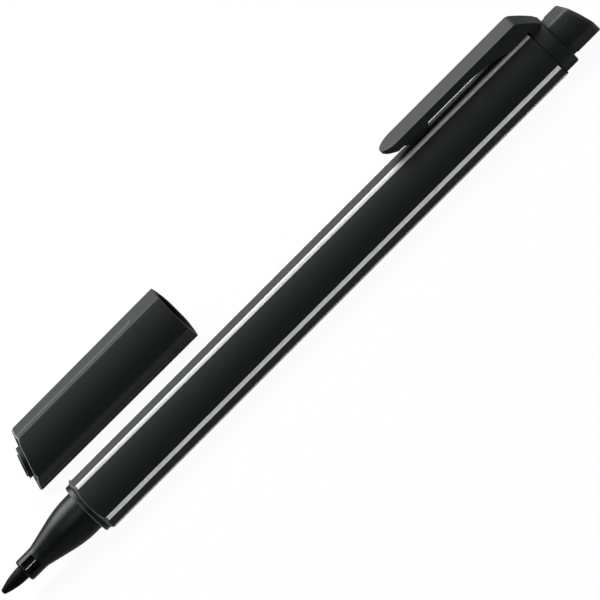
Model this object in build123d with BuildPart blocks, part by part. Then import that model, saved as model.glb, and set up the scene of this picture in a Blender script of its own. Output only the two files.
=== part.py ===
from build123d import *
import os
from math import acos, asin, cos, degrees, radians, sin, sqrt, tan

# Fineliner pen lying on a wide face with its clip straight up and its cap taken off beside it.
# Millimetres. +X runs from the nib to the tail, +Z is up, the origin is under the middle of the pair.
os.makedirs("parts", exist_ok=True)

# Faces of the pen and its cap: wide curved faces alternate with narrow flat ones
face_count = 3
face_pitch = 360 / face_count
first_wide_angle = 30
first_flat_angle = first_wide_angle + face_pitch / 2

# Barrel
barrel_length = 113.0
corner_radius = 5.86
face_radius = 5.2
wide_half_angle = 42.2
bore_radius = 3.75
rear_chamfer = 0.15
stripe_width = 1.05
stripe_depth = 0.55

# Front section: collar, tapered nose and the spigot inside the barrel
collar_length = 0.9
collar_bevel = 0.15
seat_radius = 4.13
seat_length = 1.2
nose_length = 15.4
nose_front_radius = 2.23
nose_front_rounding = 0.5
nose_taper_radius = 23.0
nose_blend_radius = 5.5
front_spigot_length = 8.0
vent_depth = 0.6
vent_half_angle = 35.0
vent_setback = 0.6
vent_length = 2.5
vent_rib_width = 0.3

# Nib
nib_radius = 1.38
nib_exposed = 5.25
nib_tip_radius = 0.43
nib_cone_count = 3
nib_tip_rounding = 0.4
nib_soak_depth = 6.0

# Ink reservoir
core_radius = 3.1
wrap_thickness = 0.15

# Clip ring, with the saddle that carries the clip
ring_length = 2.9
ring_corner_radius = 5.5
ring_face_radius = 5.1
ring_rounding = 0.4
ring_shoulder = 0.35
rear_spigot_length = 8.0
saddle_height = 5.55
saddle_front_setback = 0.1
saddle_rear_setback = 0.3
saddle_rear_drop = 0.8
saddle_root_height = 4.2

# Clip arm, heights from the pen's axis
clip_length = 32.95
clip_width = 4.43
clip_root_width = 3.5
clip_top_height = 9.33
clip_thickness = 1.7
clip_tip_length = 3.4
clip_tip_thickness = 0.75
clip_chamfer_length = 2.4
clip_bend_setback = 0.85
clip_slope_run_share = 0.58
clip_slope_rise_share = 0.476
clip_bend_rounding = 1.5
clip_web_start = 14.0
clip_web_end = 5.0
pad_setback = 6.7
pad_top_length = 6.1
pad_length = 2.9
pad_width = 2.1
pad_rounding = 0.3

# Tail plug, its end slanted: step along the axis for each step across it, towards an angle round the axis
tail_length = 5.1
tail_slope = 0.354
tail_slant_angle = 30.0
tail_corner_radius = 4.34
tail_face_radius = 3.95
tail_half_angle = 35.5
tail_rounding = 0.35
tail_end_bevel = 0.3
tail_neck_length = 0.75
tail_neck_depth = 0.17
tail_disc_radius = 2.45
tail_disc_height = 0.35
tenon_radius = 2.5
tenon_length = 5.0

# Cap shell, its closed end slanted in the same way
cap_length = 36.9
cap_slope = 0.345
cap_slant_angle = 70.5
cap_corner_radius = 5.94
cap_face_radius = 5.2
cap_half_angle = 39.0
cap_draft = 0.17
cap_corner_bevel = 0.35
cap_mouth_chamfer = 0.25
groove_width = 1.75
groove_depth = 0.08
groove_start = 6.7

# Cap liner that closes round the nose and ends in a boss
liner_wall = 0.5
liner_start = 12.3
nib_chamber_radius = 1.8
nib_chamber_end_wall = 2.0
boss_height = 0.8
boss_disc_radius = 2.15
boss_disc_height = 0.3
rib_width = 1.0
rib_start = 14.0
rib_length = 17.0

# Places of the cap beside the pen
cap_spacing = 27.24
cap_mouth_from_tip = 55.1

# Fits
press_clearance = 0.02
seal_clearance = 0.07
cap_clearance = 0.07
nib_clearance = 0.04
pad_clearance = 0.1
web_clearance = 0.52
overrun = 2.0

# Derived places along the pen and heights above the table
rest_height = face_radius
tail_flat_height = tail_corner_radius * cos(radians(face_pitch / 2 - tail_half_angle))
tail_overhang = tail_slope * (tail_flat_height - tail_end_bevel)
front_length = nib_exposed + nose_length + collar_length
rear_length = ring_length + tail_length + tail_overhang
pen_length = front_length + barrel_length + rear_length
tip_x = -pen_length / 2
nose_x = tip_x + nib_exposed
collar_x = nose_x + nose_length
barrel_x = collar_x + collar_length
ring_x = barrel_x + barrel_length
tail_x = ring_x + ring_length
tail_end_x = tail_x + tail_length
core_x = barrel_x + front_spigot_length
core_length = barrel_length - front_spigot_length - rear_spigot_length
pen_half_width = corner_radius * cos(radians(wide_half_angle - first_wide_angle))
cap_half_width = cap_corner_radius * cos(radians(cap_half_angle - first_wide_angle))
pen_y = -(cap_spacing + cap_half_width - pen_half_width) / 2
cap_y = pen_y + cap_spacing
cap_mouth_x = tip_x + cap_mouth_from_tip
cap_end_x = cap_mouth_x - cap_length
cap_bore_radius = seat_radius + cap_clearance
narrow_half_angle = face_pitch / 2 - wide_half_angle
flat_height = corner_radius * cos(radians(narrow_half_angle))

pen_axis = Axis((tip_x, pen_y, rest_height), (1, 0, 0))


def across(x, y):
    """Plane across an axis at x: its own x is +Y and its own y is +Z."""
    return Plane(origin=(x, y, rest_height), x_dir=(0, 1, 0), z_dir=(1, 0, 0))


def along(y):
    """Upright plane through an axis: its own x is +X and its own y is the height from the axis."""
    return Plane(origin=(0, y, rest_height), x_dir=(1, 0, 0), z_dir=(0, -1, 0))


def polar(radius, angle):
    """Point at a radius and an angle in degrees."""
    return (radius * cos(radians(angle)), radius * sin(radians(angle)))


class Trefoil(BaseSketchObject):
    """Section of wide arcs joined by narrow flats, with one flat facing up."""

    def __init__(self, corner, face, half_angle, rounding=0, mode=Mode.ADD):
        with BuildSketch() as section:
            with BuildLine():
                for number in range(face_count):
                    middle = first_wide_angle + number * face_pitch
                    start = polar(corner, middle - half_angle)
                    end = polar(corner, middle + half_angle)
                    ThreePointArc(start, polar(face, middle), end)
                    Line(end, polar(corner, middle + face_pitch - half_angle))
            make_face()
            if rounding > 0:
                fillet(section.vertices(), rounding)
        super().__init__(obj=section.sketch, align=None, mode=mode)


# Blank of the barrel: the section drawn along the axis, its front edge coned back to the collar
cone_length = corner_radius - face_radius + overrun
cone_outer_radius = face_radius + cone_length
rear_cone_length = cone_outer_radius - corner_radius + rear_chamfer
with BuildPart() as barrel_blank:
    with BuildSketch(across(barrel_x, pen_y)):
        Trefoil(corner_radius, face_radius, wide_half_angle)
    extrude(amount=barrel_length)
    with BuildSketch(along(pen_y)):
        with BuildLine():
            Polyline(
                (barrel_x, 0),
                (barrel_x, face_radius),
                (barrel_x + cone_length, cone_outer_radius),
                (ring_x - rear_cone_length, cone_outer_radius),
                (ring_x, corner_radius - rear_chamfer),
                (ring_x, 0),
                close=True,
            )
        make_face()
    revolve(axis=pen_axis, mode=Mode.INTERSECT)

stripe_angles = []
for number in range(face_count):
    middle = first_wide_angle + number * face_pitch
    stripe_angles += [middle - wide_half_angle, middle + wide_half_angle]

# Barrel: a tube with a groove along each corner for its stripe
with BuildPart() as barrel:
    add(barrel_blank.part)
    with BuildSketch(across(barrel_x, pen_y)):
        Circle(bore_radius)
        for angle in stripe_angles:
            with PolarLocations(corner_radius, 1, start_angle=angle):
                Rectangle(2 * stripe_depth, stripe_width)
    extrude(amount=barrel_length, mode=Mode.SUBTRACT)
barrel.part.label = "barrel"
export_step(barrel.part, "parts/barrel.step")

# Edge stripes: pale strips let into the corners, flush with the faces
for number, angle in enumerate(stripe_angles, start=1):
    with BuildPart() as edge_stripe:
        with BuildSketch(across(barrel_x, pen_y)):
            with PolarLocations(corner_radius, 1, start_angle=angle):
                Rectangle(2 * stripe_depth, stripe_width)
        extrude(amount=barrel_length)
        add(barrel_blank.part, mode=Mode.INTERSECT)
    edge_stripe.part.label = f"edge_stripe_{number}"
    export_step(edge_stripe.part, f"parts/edge_stripe_{number}.step")

# Front section: collar, seat for the cap, tapered nose with vent slots, nib bore and spigot
seat_x = collar_x - seat_length
taper_angle = degrees(acos(1 - (seat_radius - nose_front_radius) / nose_taper_radius))
taper_x = seat_x - nose_taper_radius * sin(radians(taper_angle))
nose_corner = (nose_x, nose_front_radius)
taper_corner = (taper_x, nose_front_radius)
spigot_radius = bore_radius - press_clearance
land_half_angle = face_pitch / 2 - vent_half_angle
vent_outer_radius = nose_front_radius + overrun
with BuildPart() as front_section:
    with BuildSketch(along(pen_y)) as nose_profile:
        with BuildLine():
            Polyline((nose_x, 0), nose_corner, taper_corner)
            CenterArc((seat_x, seat_radius - nose_taper_radius), nose_taper_radius, 90, taper_angle)
            Polyline(
                (seat_x, seat_radius),
                (collar_x, seat_radius),
                (collar_x, face_radius),
                (barrel_x, face_radius),
                (barrel_x, spigot_radius),
                (core_x, spigot_radius),
                (core_x, 0),
                (nose_x, 0),
            )
        make_face()
        fillet(nose_profile.vertices().sort_by_distance(nose_corner)[0], nose_front_rounding)
        fillet(nose_profile.vertices().sort_by_distance(taper_corner)[0], nose_blend_radius)
        chamfer(nose_profile.vertices().sort_by_distance((collar_x, face_radius))[0], collar_bevel)
    revolve(axis=pen_axis)
    with BuildSketch(across(nose_x, pen_y)):
        Circle(nib_radius + nib_clearance)
    extrude(amount=core_x - nose_x, mode=Mode.SUBTRACT)
    with BuildSketch(across(nose_x + vent_setback, pen_y)):
        Circle(vent_outer_radius)
        Circle(nose_front_radius - vent_depth, mode=Mode.SUBTRACT)
        with PolarLocations(0, face_count, start_angle=first_flat_angle):
            Polygon(
                (0, 0),
                polar(2 * vent_outer_radius, -land_half_angle),
                polar(2 * vent_outer_radius, land_half_angle),
                align=None,
                mode=Mode.SUBTRACT,
            )
        with PolarLocations(nose_front_radius, face_count, start_angle=first_wide_angle):
            Rectangle(2 * vent_outer_radius, vent_rib_width, mode=Mode.SUBTRACT)
    extrude(amount=vent_length, mode=Mode.SUBTRACT)
front_section.part.label = "front_section"
export_step(front_section.part, "parts/front_section.step")

# Nib: a fibre rod ground to an ogive in a few cones, its rear end soaking in the reservoir
nib_end_x = core_x + nib_soak_depth
nib_tip_corner = (tip_x, nib_tip_radius)
ogive_drop = nib_radius - nib_tip_radius
ogive_radius = (nib_exposed**2 + ogive_drop**2) / (2 * ogive_drop)
ogive_step = asin(nib_exposed / ogive_radius) / nib_cone_count
ogive = []
for number in range(nib_cone_count):
    reach = ogive_radius * sin(number * ogive_step)
    ogive.append((nose_x - reach, nib_radius - ogive_radius + sqrt(ogive_radius**2 - reach**2)))
with BuildPart() as nib:
    with BuildSketch(along(pen_y)) as nib_profile:
        with BuildLine():
            Polyline(*ogive, nib_tip_corner, (tip_x, 0), (nib_end_x, 0), (nib_end_x, nib_radius), close=True)
        make_face()
        fillet(nib_profile.vertices().sort_by_distance(nib_tip_corner)[0], nib_tip_rounding)
    revolve(axis=pen_axis)
nib.part.label = "nib"
export_step(nib.part, "parts/nib.step")

# Ink reservoir: a fibre core in a film sleeve, held between the two spigots
with BuildPart() as reservoir_core:
    with BuildSketch(across(core_x, pen_y)):
        Circle(core_radius)
    extrude(amount=core_length)
    with BuildSketch(across(core_x, pen_y)):
        Circle(nib_radius + nib_clearance)
    extrude(amount=nib_soak_depth, mode=Mode.SUBTRACT)
reservoir_core.part.label = "reservoir_core"
export_step(reservoir_core.part, "parts/reservoir_core.step")

with BuildPart() as reservoir_sleeve:
    with BuildSketch(across(core_x, pen_y)):
        Circle(core_radius + wrap_thickness)
        Circle(core_radius, mode=Mode.SUBTRACT)
    extrude(amount=core_length)
reservoir_sleeve.part.label = "reservoir_sleeve"
export_step(reservoir_sleeve.part, "parts/reservoir_sleeve.step")

# Plan of the clip: rounded at the tip and drawn in over the saddle
clip_x = ring_x - clip_length
clip_bend_x = ring_x - clip_bend_setback
saddle_front_x = ring_x + saddle_front_setback
saddle_rear_x = tail_x - saddle_rear_setback
draw_in_x = clip_bend_x - clip_bend_rounding
tip_arc_center = (clip_x + clip_tip_length, 0)
with BuildSketch(Plane(origin=(0, pen_y, rest_height))) as clip_plan:
    with BuildLine():
        tip_arc = EllipticalCenterArc(tip_arc_center, clip_tip_length, clip_width / 2, 90, arc_size=180)
        Line(tip_arc @ 1, (draw_in_x, -clip_width / 2))
        TangentArc((draw_in_x, -clip_width / 2), (tail_x, -clip_root_width / 2), tangent=(1, 0))
        Line((tail_x, -clip_root_width / 2), (tail_x, clip_root_width / 2))
        TangentArc((draw_in_x, clip_width / 2), (tail_x, clip_root_width / 2), tangent=(1, 0))
        Line((draw_in_x, clip_width / 2), tip_arc @ 0)
    make_face()

# Saddle: the raised seat on the ring's upper flat that carries the clip
with BuildPart() as saddle:
    with BuildSketch(along(pen_y)):
        with BuildLine():
            Polyline(
                (saddle_front_x, saddle_root_height),
                (saddle_front_x, saddle_height),
                (saddle_rear_x, saddle_height),
                (tail_x, saddle_height - saddle_rear_drop),
                (tail_x, saddle_root_height),
                close=True,
            )
        make_face()
    extrude(amount=clip_width / 2, both=True)
    extrude(clip_plan.sketch, amount=clip_top_height, mode=Mode.INTERSECT)

# Clip ring: closes the barrel's rear, with a saddle for the clip, a spigot and a socket for the tail plug
shoulder_outer_radius = ring_face_radius + overrun
with BuildPart() as clip_ring:
    with BuildSketch(across(ring_x, pen_y)):
        Trefoil(ring_corner_radius, ring_face_radius, wide_half_angle, ring_rounding)
    extrude(amount=ring_length)
    with BuildSketch(along(pen_y)):
        with BuildLine():
            Polyline(
                (ring_x, 0),
                (ring_x, shoulder_outer_radius),
                (tail_x - ring_shoulder - overrun, shoulder_outer_radius),
                (tail_x, ring_face_radius - ring_shoulder),
                (tail_x, 0),
                close=True,
            )
        make_face()
    revolve(axis=pen_axis, mode=Mode.INTERSECT)
    add(saddle.part)
    with BuildSketch(across(ring_x, pen_y)):
        Circle(spigot_radius)
    extrude(amount=-rear_spigot_length)
    with BuildSketch(across(tail_x, pen_y)):
        Circle(tenon_radius)
    extrude(amount=-tenon_length, mode=Mode.SUBTRACT)
clip_ring.part.label = "clip_ring"
export_step(clip_ring.part, "parts/clip_ring.step")

# Clip arm: a bar bent down to the saddle, its pad standing between two stripes on the upper flat
clip_bend = (clip_bend_x, clip_top_height)
slope_x = clip_bend_x + clip_slope_run_share * (saddle_rear_x - clip_bend_x)
slope_height = saddle_height + clip_slope_rise_share * (clip_top_height - saddle_height)
clip_under_height = clip_top_height - clip_thickness
pad_x = clip_x + pad_setback
pad_height = flat_height + pad_clearance
web_top = (ring_x - clip_web_start, clip_under_height)
web_height = flat_height + web_clearance
web_foot = (ring_x - clip_web_end, web_height)
with BuildPart() as clip_arm:
    with BuildSketch(along(pen_y)) as clip_profile:
        with BuildLine():
            Line((clip_x, clip_top_height), clip_bend)
            ThreePointArc(
                clip_bend,
                (slope_x, slope_height),
                (saddle_rear_x, saddle_height),
            )
            Polyline(
                (saddle_rear_x, saddle_height),
                (saddle_front_x, saddle_height),
                (saddle_front_x, web_height),
                web_foot,
            )
            TangentArc(web_top, web_foot, tangent=(1, 0))
            Polyline(
                web_top,
                (clip_x + clip_chamfer_length, clip_under_height),
                (clip_x, clip_top_height - clip_tip_thickness),
                (clip_x, clip_top_height),
            )
        make_face()
        fillet(clip_profile.vertices().sort_by_distance(clip_bend)[0], clip_bend_rounding)
    extrude(amount=clip_width / 2, both=True)
    extrude(clip_plan.sketch, amount=clip_top_height, mode=Mode.INTERSECT)
    with BuildSketch(Plane(origin=(pad_x, pen_y, rest_height + pad_height))):
        Rectangle(pad_length, pad_width)
    with BuildSketch(Plane(origin=(pad_x, pen_y, rest_height + clip_under_height))):
        Rectangle(pad_top_length, clip_width)
    loft(ruled=True)
    foot = clip_arm.faces().sort_by_distance((pad_x, pen_y, rest_height + pad_height))[0]
    fillet(foot.edges(), pad_rounding)
clip_arm.part.label = "clip_arm"
export_step(clip_arm.part, "parts/clip_arm.step")

# Tail plug: a smaller section with a slanted end and a low disc on it, for the cap to be pushed onto
tail_slant = Plane(origin=(tail_end_x, pen_y, rest_height), z_dir=(1, *polar(tail_slope, tail_slant_angle)))
neck_corner_radius = tail_corner_radius - tail_neck_depth
neck_face_radius = tail_face_radius - tail_neck_depth
post_x = tail_x + tail_neck_length
with BuildPart() as tail_plug:
    with BuildSketch(across(post_x, pen_y)):
        Trefoil(tail_corner_radius, tail_face_radius, tail_half_angle, tail_rounding)
    extrude(amount=tail_end_x - post_x + tail_overhang + overrun)
    split(bisect_by=tail_slant, keep=Keep.BOTTOM)
    chamfer(tail_plug.faces().sort_by(Axis.X)[-1].edges(), tail_end_bevel)
    with BuildSketch(tail_slant):
        Circle(tail_disc_radius)
    extrude(amount=tail_disc_height)
    with BuildSketch(across(tail_x, pen_y)):
        Trefoil(neck_corner_radius, neck_face_radius, tail_half_angle, tail_rounding)
    extrude(amount=tail_neck_length)
    with BuildSketch(across(tail_x, pen_y)):
        Circle(tenon_radius - press_clearance)
    extrude(amount=-tenon_length)
tail_plug.part.label = "tail_plug"
export_step(tail_plug.part, "parts/tail_plug.step")

# Blank of the cap: the section drawn up from its mouth with the mould's draft
cap_slant = Plane(origin=(cap_end_x, cap_y, rest_height), z_dir=(-1, *polar(cap_slope, cap_slant_angle)))
cap_far_x = cap_end_x - cap_slope * cap_corner_radius
cap_reach = cap_mouth_x - cap_far_x + overrun
cap_shrink = cap_reach * tan(radians(cap_draft))
with BuildPart() as cap_blank:
    with BuildSketch():
        Trefoil(cap_corner_radius, cap_face_radius, cap_half_angle)
    extrude(amount=cap_reach, taper=cap_draft)

# Envelope of the cap: a round bar cut at the slant, with a bevel that takes off the closed end's corners
with BuildPart() as cap_envelope:
    with BuildSketch(across(cap_mouth_x, cap_y)):
        Circle(cap_corner_radius + overrun)
    extrude(amount=-cap_reach - overrun)
    split(bisect_by=cap_slant, keep=Keep.BOTTOM)
    chamfer(cap_envelope.faces().sort_by(Axis.X)[0].edges(), cap_shrink + overrun + cap_corner_bevel)

# Cap shell: a tapered sleeve, open at both ends, with a shallow groove along each flat
cap_flat_height = cap_corner_radius * cos(radians(face_pitch / 2 - cap_half_angle))
groove_floor = cap_flat_height - cap_shrink - groove_depth
groove_length = cap_reach - groove_start
mouth_plane = Plane(origin=(cap_mouth_x, cap_y, rest_height), x_dir=(0, -1, 0), z_dir=(-1, 0, 0))
with BuildPart() as cap_shell:
    with Locations(mouth_plane):
        add(cap_blank.part)
    add(cap_envelope.part, mode=Mode.INTERSECT)
    with BuildSketch(across(cap_mouth_x, cap_y)):
        Circle(cap_bore_radius)
    extrude(amount=-cap_reach, mode=Mode.SUBTRACT)
    chamfer(cap_shell.edges().sort_by_distance((cap_mouth_x, cap_y, rest_height))[0], cap_mouth_chamfer)
    for number in range(face_count):
        outward = polar(1, first_flat_angle + number * face_pitch)
        floor = (cap_mouth_x, cap_y + groove_floor * outward[0], rest_height + groove_floor * outward[1])
        with BuildSketch(Plane(origin=floor, x_dir=(1, 0, 0), z_dir=(0, *outward))):
            with Locations((-groove_start - groove_length / 2, 0)):
                SlotOverall(groove_length, groove_width)
        extrude(amount=overrun, mode=Mode.SUBTRACT)
cap_shell.part.label = "cap_shell"
export_step(cap_shell.part, "parts/cap_shell.step")

# Cap liner: seals round the nose, covers the nib and ends in a boss at the slant, carried on ribs
liner_bore_radius = nose_front_radius + seal_clearance
liner_radius = liner_bore_radius + liner_wall
liner_x = cap_mouth_x - liner_start
seal_length = nose_length + nose_front_rounding - liner_start
chamber_end_x = cap_end_x + cap_slope * nib_chamber_radius + nib_chamber_end_wall
boss_plane = cap_slant.offset(boss_height)
with BuildPart() as cap_liner:
    with BuildSketch(across(liner_x, cap_y)):
        Circle(liner_radius)
    extrude(amount=-cap_reach + liner_start)
    split(bisect_by=boss_plane, keep=Keep.BOTTOM)
    with BuildSketch(boss_plane):
        Circle(boss_disc_radius)
    extrude(amount=boss_disc_height)
    with BuildSketch(across(cap_mouth_x - rib_start, cap_y)):
        with PolarLocations(liner_radius, face_count, start_angle=first_flat_angle):
            Rectangle(2 * (cap_bore_radius - liner_radius), rib_width)
        Circle(cap_bore_radius - press_clearance, mode=Mode.INTERSECT)
    extrude(amount=-rib_length)
    with BuildSketch(across(liner_x, cap_y)):
        Circle(liner_bore_radius)
    extrude(amount=-seal_length, mode=Mode.SUBTRACT)
    with BuildSketch(across(liner_x, cap_y)):
        Circle(nib_chamber_radius)
    extrude(amount=chamber_end_x - liner_x, mode=Mode.SUBTRACT)
cap_liner.part.label = "cap_liner"
export_step(cap_liner.part, "parts/cap_liner.step")
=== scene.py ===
import bpy
import bmesh
from math import acos, asin, atan2, cos, degrees, pi, radians, sin, sqrt, tan
from mathutils import Matrix, Vector


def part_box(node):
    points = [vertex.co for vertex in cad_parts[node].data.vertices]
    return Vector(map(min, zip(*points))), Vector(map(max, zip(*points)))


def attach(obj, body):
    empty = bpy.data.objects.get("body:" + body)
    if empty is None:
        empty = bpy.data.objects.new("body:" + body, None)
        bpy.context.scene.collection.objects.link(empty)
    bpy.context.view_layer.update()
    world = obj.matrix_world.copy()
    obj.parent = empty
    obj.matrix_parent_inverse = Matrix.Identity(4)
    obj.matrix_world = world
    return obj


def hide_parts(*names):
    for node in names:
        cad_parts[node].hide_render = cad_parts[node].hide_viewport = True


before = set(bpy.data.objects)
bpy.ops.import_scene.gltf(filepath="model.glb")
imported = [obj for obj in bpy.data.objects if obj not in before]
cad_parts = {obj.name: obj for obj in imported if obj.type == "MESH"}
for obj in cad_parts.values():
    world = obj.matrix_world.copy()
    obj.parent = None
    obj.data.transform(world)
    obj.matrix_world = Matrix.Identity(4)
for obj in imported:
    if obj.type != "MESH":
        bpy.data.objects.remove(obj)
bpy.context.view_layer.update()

# Sizes in millimetres and angles in degrees, as the solids have them
MM = 0.001
AXIS_HEIGHT = 5.2
PEN_Y = sum(corner.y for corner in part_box("nib")) / 2 / MM
CAP_Y = sum(corner.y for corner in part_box("cap_shell")) / 2 / MM
FLATS = 3
FLAT_PITCH = 360 / FLATS
FIRST_WIDE = 30.0
TIP_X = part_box("nib")[0].x / MM
NOSE_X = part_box("front_section")[0].x / MM
BARREL_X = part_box("barrel")[0].x / MM
RING_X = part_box("barrel")[1].x / MM
RING_LENGTH, TAIL_LENGTH = 2.9, 5.1
TAIL_X = RING_X + RING_LENGTH
TAIL_END_X = TAIL_X + TAIL_LENGTH
CAP_MOUTH_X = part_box("cap_shell")[1].x / MM
CAP_LENGTH = 36.9

# Merging distance in metres, and the angle from which an edge stays sharp
MERGE_DISTANCE = 1e-7
SHARP_EDGE = 28.0

# What a mesh's edge attribute paints on its surface: a painted highlight at 1, nothing at 0, painted shade
# at -1
PAINTED_HIGHLIGHT, PLAIN, PAINTED_SHADE = 1.0, 0.0, -1.0


class Wire:
    """A node socket in a shader or geometry tree, joined to others by Python's operators."""

    def __init__(self, socket):
        self.socket = socket

    @staticmethod
    def node(tree, kind, settings=None, values=None, out=0):
        """Adds a node: its settings first, then the values or links of its sockets."""
        made = tree.nodes.new(kind)
        for name, value in (settings or {}).items():
            if name == "item_count":
                while len(made.index_switch_items) < value:
                    made.index_switch_items.new()
            else:
                setattr(made, name, value)
        for key, value in (values or {}).items():
            if isinstance(value, Wire):
                tree.links.new(value.socket, made.inputs[key])
            else:
                made.inputs[key].default_value = value
        return Wire(made.outputs[out]) if len(made.outputs) else None

    def into(self, shader, name):
        """Feeds a socket of a finish's shader."""
        self.socket.id_data.links.new(self.socket, shader.inputs[name])

    def math(self, operation, *others):
        values = dict(enumerate((self, *others)))
        return Wire.node(self.socket.id_data, "ShaderNodeMath", {"operation": operation}, values)

    def flipped(self, operation, other):
        values = {0: other, 1: self}
        return Wire.node(self.socket.id_data, "ShaderNodeMath", {"operation": operation}, values)

    def __add__(self, other):
        return self.math("ADD", other)

    __radd__ = __add__

    def __sub__(self, other):
        return self.math("SUBTRACT", other)

    def __rsub__(self, other):
        return self.flipped("SUBTRACT", other)

    def __mul__(self, other):
        return self.math("MULTIPLY", other)

    __rmul__ = __mul__

    def __truediv__(self, other):
        return self.math("DIVIDE", other)

    def __rtruediv__(self, other):
        return self.flipped("DIVIDE", other)


# Finishes

def linear(red, green, blue):
    """Colour of a screen value from 0 to 255, as the shaders take it."""
    shares = (red / 255, green / 255, blue / 255)
    return tuple(c / 12.92 if c <= 0.04045 else ((c + 0.055) / 1.055) ** 2.4 for c in shares)


DEEP, DARK, PALE = linear(9, 13, 12), linear(17, 22, 21), linear(23, 28, 27)
# Colour of the painted shade in vents, bores and shaded ends
SHADE_PAINT_COLOUR = linear(2, 2, 2)
COOL_SHEEN = (0.93, 1.0, 0.98, 1)
# Colours of the painted highlights along rims: on the nose, on the cap and on the other parts
NOSE_HIGHLIGHT_PAINT, CAP_HIGHLIGHT_PAINT, OTHER_HIGHLIGHT_PAINT = (215, 220, 218), (160, 165, 163), (96, 101, 99)

# Stretch of a noise's values that a finish is spread over
GRAIN_SPAN = 0.3, 0.7


def new_finish(name):
    finish = bpy.data.materials.new(name)
    finish.use_nodes = True
    tree = finish.node_tree
    shader = next(n for n in tree.nodes if n.type == "BSDF_PRINCIPLED")
    place = Wire.node(tree, "ShaderNodeTexCoord", out="Object")
    return finish, tree, shader, place


def noise(tree, place, scale, detail=3.0, roughness=0.55):
    values = {"Vector": place, "Scale": scale, "Detail": detail, "Roughness": roughness}
    return Wire.node(tree, "ShaderNodeTexNoise", None, values, out="Fac")


def blend(tree, factor, first, second):
    """Mix of two colours, each a colour or a wire."""
    ends = [colour if isinstance(colour, Wire) else (*colour, 1) for colour in (first, second)]
    values = {"Factor": factor, 6: ends[0], 7: ends[1]}
    return Wire.node(tree, "ShaderNodeMix", {"data_type": "RGBA"}, values, out=2)


def span(tree, value, low, high, to_low=0.0, to_high=1.0):
    values = {"Value": value, "From Min": low, "From Max": high, "To Min": to_low, "To Max": to_high}
    return Wire.node(tree, "ShaderNodeMapRange", None, values)


def add_bump(tree, shader, height, strength, depth):
    """Lets a pattern stand out from the surface by a depth in millimetres."""
    values = {"Strength": strength, "Distance": depth * MM, "Height": height}
    Wire.node(tree, "ShaderNodeBump", None, values).into(shader, "Normal")


def moulded_plastic(name, dark=DARK, light=PALE, roughness=0.56, specular=0.1, grain=8000.0,
                    grain_depth=0.014, edge=OTHER_HIGHLIGHT_PAINT):
    """Moulded plastic with a fine grain, cloudy colour and uneven sheen, a painted highlight of colour edge
    on marked rims and painted shade on marked recesses.
    """
    cloud_share, speck_share, shade_span = 0.6, 0.4, (0.35, 0.65)
    sheen_swing, recess_dulling, bump_strength = 0.04, 0.4, 0.35
    finish, tree, shader, place = new_finish(name)
    cloud = noise(tree, place, scale=160.0, detail=4.0)
    speck = noise(tree, place, scale=grain, detail=2.0, roughness=0.6)
    mark = Wire.node(tree, "ShaderNodeAttribute", {"attribute_name": "edge"}, out="Fac")
    shade = span(tree, cloud * cloud_share + speck * speck_share, *shade_span)
    plain = blend(tree, shade, dark, light)
    # Painted highlight on marked rims, then painted shade on marked recesses
    highlight_painted = blend(tree, span(tree, mark, PLAIN, PAINTED_HIGHLIGHT), plain, linear(*edge))
    blend(tree, span(tree, mark, PLAIN, PAINTED_SHADE), highlight_painted, SHADE_PAINT_COLOUR).into(shader, "Base Color")
    patches = noise(tree, place, scale=420.0)
    sheen = span(tree, patches, *GRAIN_SPAN, roughness - sheen_swing, roughness + sheen_swing)
    dulled = span(tree, mark, PLAIN, PAINTED_SHADE, 0.0, recess_dulling)
    (sheen + dulled).into(shader, "Roughness")
    add_bump(tree, shader, speck, bump_strength, grain_depth)
    shader.inputs["Specular IOR Level"].default_value = specular
    shader.inputs["Specular Tint"].default_value = COOL_SHEEN
    return finish


def lengthwise_finish(name, along, across, dark, light, sheen, bump=None, detail=3.0, noise_roughness=0.55,
                      specular=0.5):
    """Finish with a grain along the pen, which sets its colour, its roughness and its bumps."""
    finish, tree, shader, place = new_finish(name)
    stretch = {"Vector": place, "Scale": (along, across, across)}
    stretched = Wire.node(tree, "ShaderNodeMapping", None, stretch)
    grain = noise(tree, stretched, 1.0, detail, noise_roughness)
    colour = blend(tree, span(tree, grain, *GRAIN_SPAN), linear(*dark), linear(*light))
    colour.into(shader, "Base Color")
    span(tree, grain, *GRAIN_SPAN, *sheen).into(shader, "Roughness")
    if bump:
        add_bump(tree, shader, grain, *bump)
    shader.inputs["Specular IOR Level"].default_value = specular
    return finish


barrel_black = moulded_plastic("barrel_black", grain=9000.0, grain_depth=0.012)
front_black = moulded_plastic("front_section_black", DEEP, DARK, roughness=0.37, specular=0.072,
                              grain=9000.0, grain_depth=0.010, edge=NOSE_HIGHLIGHT_PAINT)
clip_black = moulded_plastic("clip_matt_black", DEEP, DARK, roughness=0.52, specular=0.13,
                             grain=3800.0, grain_depth=0.030)
ring_black = moulded_plastic("clip_ring_black")
tail_black = moulded_plastic("tail_plug_black")
cap_black = moulded_plastic("cap_black", specular=0.11, grain=9000.0, grain_depth=0.012, edge=CAP_HIGHLIGHT_PAINT)
liner_black = moulded_plastic("cap_liner_black", roughness=0.5, grain_depth=0.012, edge=CAP_HIGHLIGHT_PAINT)

# Bonded fibre soaked with ink: matt, with fine strands along the rod
nib_black = lengthwise_finish("nib_fibre_black", 180.0, 5200.0, (2, 3, 3), (7, 8, 8), sheen=(0.7, 0.5),
                              bump=(0.5, 0.03), noise_roughness=0.6, specular=0.03)

# Pale inlay, drawn along the barrel, so its faint streaks run lengthwise
stripe_white = lengthwise_finish("edge_stripe_white", 60.0, 2600.0, (236, 237, 236), (246, 247, 246),
                                 sheen=(0.42, 0.5), bump=(0.15, 0.01), specular=0.3)

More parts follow.
